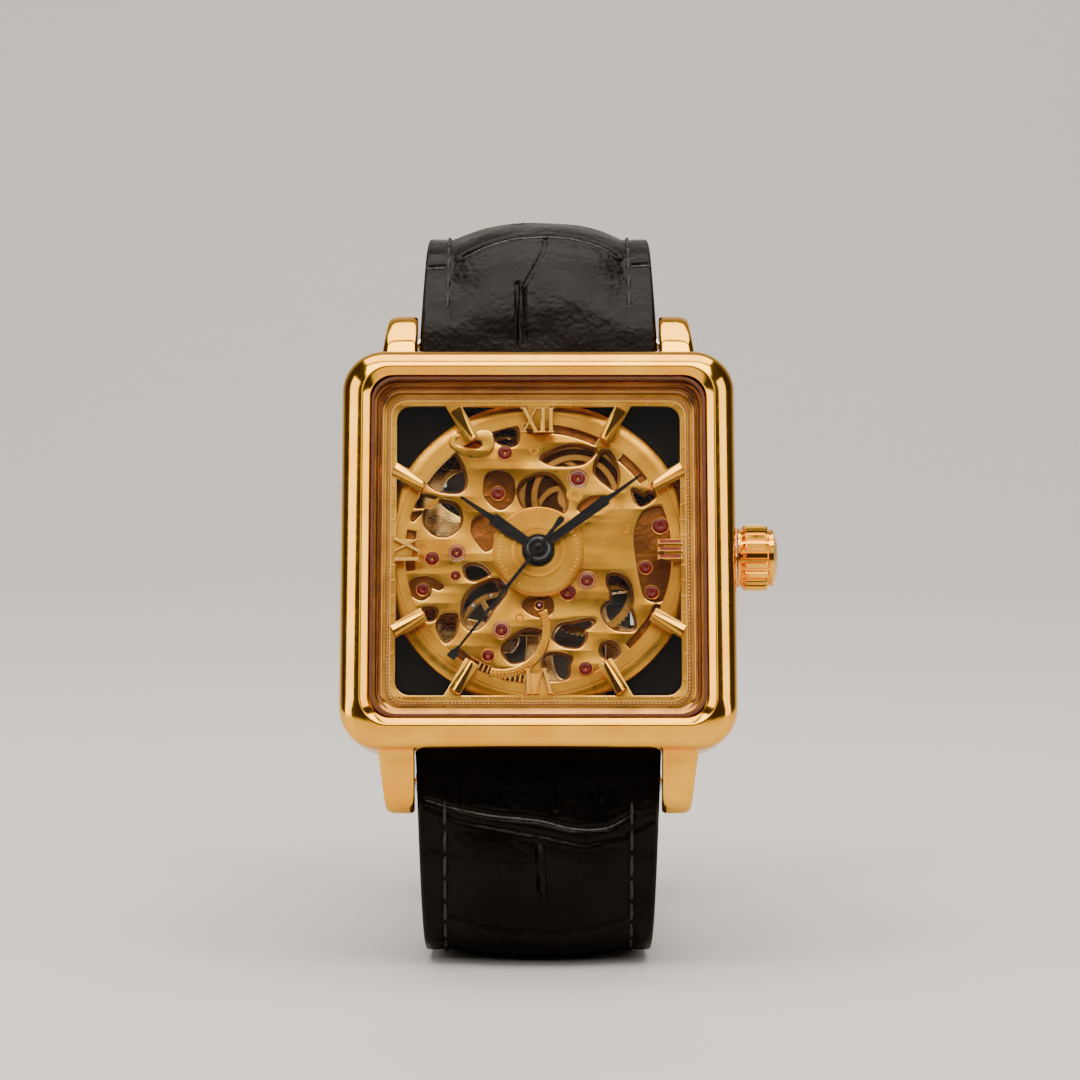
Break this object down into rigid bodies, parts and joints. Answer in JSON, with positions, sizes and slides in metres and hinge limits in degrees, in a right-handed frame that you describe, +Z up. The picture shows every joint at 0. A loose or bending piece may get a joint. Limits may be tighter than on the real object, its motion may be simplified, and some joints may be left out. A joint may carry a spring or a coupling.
{
  "type": "skeleton wristwatch",
  "caption": "Square skeleton wristwatch with an open-worked movement, applied numerals, a fluted crown and a buckled leather strap, standing on the bottom of its strap loop.",
  "frame": {"origin": "on the flat face under the strap loop that the watch rests on, in the case's middle plane", "axes": "+Z up, +X towards the crown at 3 o'clock, the dial faces -Y and leans back 18.5 degrees"},
  "size_m": [0.0429, 0.0585, 0.0724],
  "materials": {
    "polished_gold": "mirror-polished gold plate",
    "satin_gold": "fine satin gold plate",
    "brass": "satin brass",
    "steel": "polished steel",
    "black_polish": "gloss black",
    "blued_spring": "blued spring steel",
    "sapphire": "clear polished",
    "gasket": "matt",
    "black_leather": "glossy embossed leather"
  },
  "bodies": {
    "root": {"case_middle": "polished_gold", "bezel": "polished_gold", "crystal": "sapphire", "crystal_gasket": "gasket", "flange_ring": "polished_gold", "dial_frame": "satin_gold", "hour_marker_1": "polished_gold", "hour_marker_2": "polished_gold", "hour_marker_4": "polished_gold", "hour_marker_5": "polished_gold", "hour_marker_7": "polished_gold", "hour_marker_8": "polished_gold", "hour_marker_10": "polished_gold", "hour_marker_11": "polished_gold", "numeral_12": "polished_gold", "numeral_3": "polished_gold", "numeral_6": "polished_gold", "numeral_9": "polished_gold", "case_back": "polished_gold", "back_crystal": "sapphire", "case_back_screw_1": "polished_gold", "case_back_screw_2": "polished_gold", "case_back_screw_3": "polished_gold", "case_back_screw_4": "polished_gold", "movement_holder": "black_polish", "main_plate": "satin_gold", "barrel_bridge": "satin_gold", "train_bridge": "satin_gold", "balance_cock": "satin_gold", "motion_cover": "polished_gold", "strap_buckle_side": "black_leather", "strap_tail_side": "black_leather", "spring_bar_12": "steel", "spring_bar_6": "steel", "buckle_bar": "polished_gold", "fixed_keeper": "black_leather"},
    "seconds": {"fourth_wheel": "brass", "seconds_hand": "black_polish"},
    "third": {"third_wheel": "brass"},
    "center": {"center_wheel": "brass"},
    "barrel": {"barrel": "brass", "mainspring": "blued_spring"},
    "escape": {"escape_wheel": "steel"},
    "minute_wheel": {"minute_wheel": "brass"},
    "hour_wheel": {"hour_wheel": "brass"},
    "minute": {"cannon_pinion": "steel", "minute_hand": "black_polish"},
    "hour": {"hour_hand": "black_polish"},
    "stem": {"winding_stem": "steel"},
    "crown": {"crown": "polished_gold"},
    "winding_pinion": {"winding_pinion": "steel"},
    "crown_wheel": {"crown_wheel": "steel"},
    "ratchet": {"ratchet_wheel": "steel"},
    "click": {"click": "steel"},
    "pallet": {"pallet_fork": "steel"},
    "balance": {"balance_wheel": "brass", "hairspring": "blued_spring"},
    "buckle_frame": {"buckle_frame": "polished_gold"},
    "buckle_tongue": {"buckle_tongue": "polished_gold"},
    "keeper": {"free_keeper": "black_leather"}
  },
  "joints": [
    {"name": "seconds_turn", "type": "hinge", "parent": "root", "child": "seconds", "pos_m": [0, -0.008, 0.0405], "axis": [0, 0.9483, -0.3173], "continuous": true},
    {"name": "third_wheel_turn", "type": "hinge", "parent": "root", "child": "third", "pos_m": [0.00477, -0.00889, 0.03785], "axis": [0, 0.9483, -0.3173], "continuous": true},
    {"name": "center_wheel_turn", "type": "hinge", "parent": "root", "child": "center", "pos_m": [0, -0.008, 0.0405], "axis": [0, 0.9483, -0.3173], "continuous": true},
    {"name": "barrel_turn", "type": "hinge", "parent": "root", "child": "barrel", "pos_m": [0.0036, -0.00613, 0.0461], "axis": [0, 0.9483, -0.3173], "continuous": true},
    {"name": "escape_wheel_turn", "type": "hinge", "parent": "root", "child": "escape", "pos_m": [0.00009, -0.00965, 0.03557], "axis": [0, 0.9483, -0.3173], "continuous": true},
    {"name": "minute_wheel_turn", "type": "hinge", "parent": "root", "child": "minute_wheel", "pos_m": [-0.00156, -0.00751, 0.04198], "axis": [0, 0.9483, -0.3173], "continuous": true},
    {"name": "hour_wheel_turn", "type": "hinge", "parent": "root", "child": "hour_wheel", "pos_m": [0, -0.008, 0.0405], "axis": [0, 0.9483, -0.3173], "continuous": true},
    {"name": "hand_setting", "type": "hinge", "parent": "center", "child": "minute", "pos_m": [0, -0.008, 0.0405], "axis": [0, 0.9483, -0.3173], "continuous": true},
    {"name": "hour_hand_setting", "type": "hinge", "parent": "hour_wheel", "child": "hour", "pos_m": [0, -0.008, 0.0405], "axis": [0, 0.9483, -0.3173], "continuous": true},
    {"name": "crown_pull", "type": "slide", "parent": "root", "child": "stem", "axis": [1, 0, 0], "range_m": [0, 0.001]},
    {"name": "crown_turn", "type": "hinge", "parent": "stem", "child": "crown", "pos_m": [0, -0.00591, 0.0398], "axis": [1, 0, 0], "continuous": true},
    {"name": "winding_pinion_turn", "type": "hinge", "parent": "root", "child": "winding_pinion", "pos_m": [0, -0.00591, 0.0398], "axis": [1, 0, 0], "continuous": true},
    {"name": "crown_wheel_turn", "type": "hinge", "parent": "root", "child": "crown_wheel", "pos_m": [0.0073, -0.008, 0.0405], "axis": [0, 0.9483, -0.3173], "continuous": true},
    {"name": "ratchet_wheel_turn", "type": "hinge", "parent": "root", "child": "ratchet", "pos_m": [0.0036, -0.00613, 0.0461], "axis": [0, 0.9483, -0.3173], "continuous": true},
    {"name": "click_lift", "type": "hinge", "parent": "root", "child": "click", "pos_m": [-0.00064, -0.00535, 0.04842], "axis": [0, 0.9483, -0.3173], "range_deg": [0, 12], "stiffness_Nm_per_rad": 0.0000002},
    {"name": "pallet_rock", "type": "hinge", "parent": "root", "child": "pallet", "pos_m": [-0.00185, -0.01007, 0.03431], "axis": [0, 0.9483, -0.3173], "range_deg": [-5, 5]},
    {"name": "balance_swing", "type": "hinge", "parent": "root", "child": "balance", "pos_m": [-0.0036, -0.01045, 0.03317], "axis": [0, 0.9483, -0.3173], "range_deg": [-270, 270], "stiffness_Nm_per_rad": 0.0000003, "deforming": ["hairspring"]},
    {"name": "buckle_frame_swing", "type": "hinge", "parent": "root", "child": "buckle_frame", "pos_m": [0, 0.0361, 0.028], "axis": [1, 0, 0], "range_deg": [-4, 0]},
    {"name": "buckle_tongue_swing", "type": "hinge", "parent": "root", "child": "buckle_tongue", "pos_m": [0, 0.0361, 0.028], "axis": [1, 0, 0], "range_deg": [0, 25]},
    {"name": "keeper_slide", "type": "slide", "parent": "root", "child": "keeper", "axis": [0, 0, 1], "range_m": [-0.0024, 0.004]}
  ],
  "couplings": [
    {"joint": "third_wheel_turn", "follows": "seconds_turn", "ratio": -0.13333},
    {"joint": "center_wheel_turn", "follows": "seconds_turn", "ratio": 0.016667},
    {"joint": "barrel_turn", "follows": "seconds_turn", "ratio": -0.0027778},
    {"joint": "escape_wheel_turn", "follows": "seconds_turn", "ratio": -10},
    {"joint": "minute_wheel_turn", "follows": "seconds_turn", "ratio": -0.0055556},
    {"joint": "hour_wheel_turn", "follows": "seconds_turn", "ratio": 0.0013889},
    {"joint": "hour_hand_setting", "follows": "hand_setting", "ratio": 0.083333},
    {"joint": "winding_pinion_turn", "follows": "crown_turn", "ratio": 1},
    {"joint": "crown_wheel_turn", "follows": "crown_turn", "ratio": -0.33333},
    {"joint": "ratchet_wheel_turn", "follows": "crown_turn", "ratio": 0.28571}
  ]
}
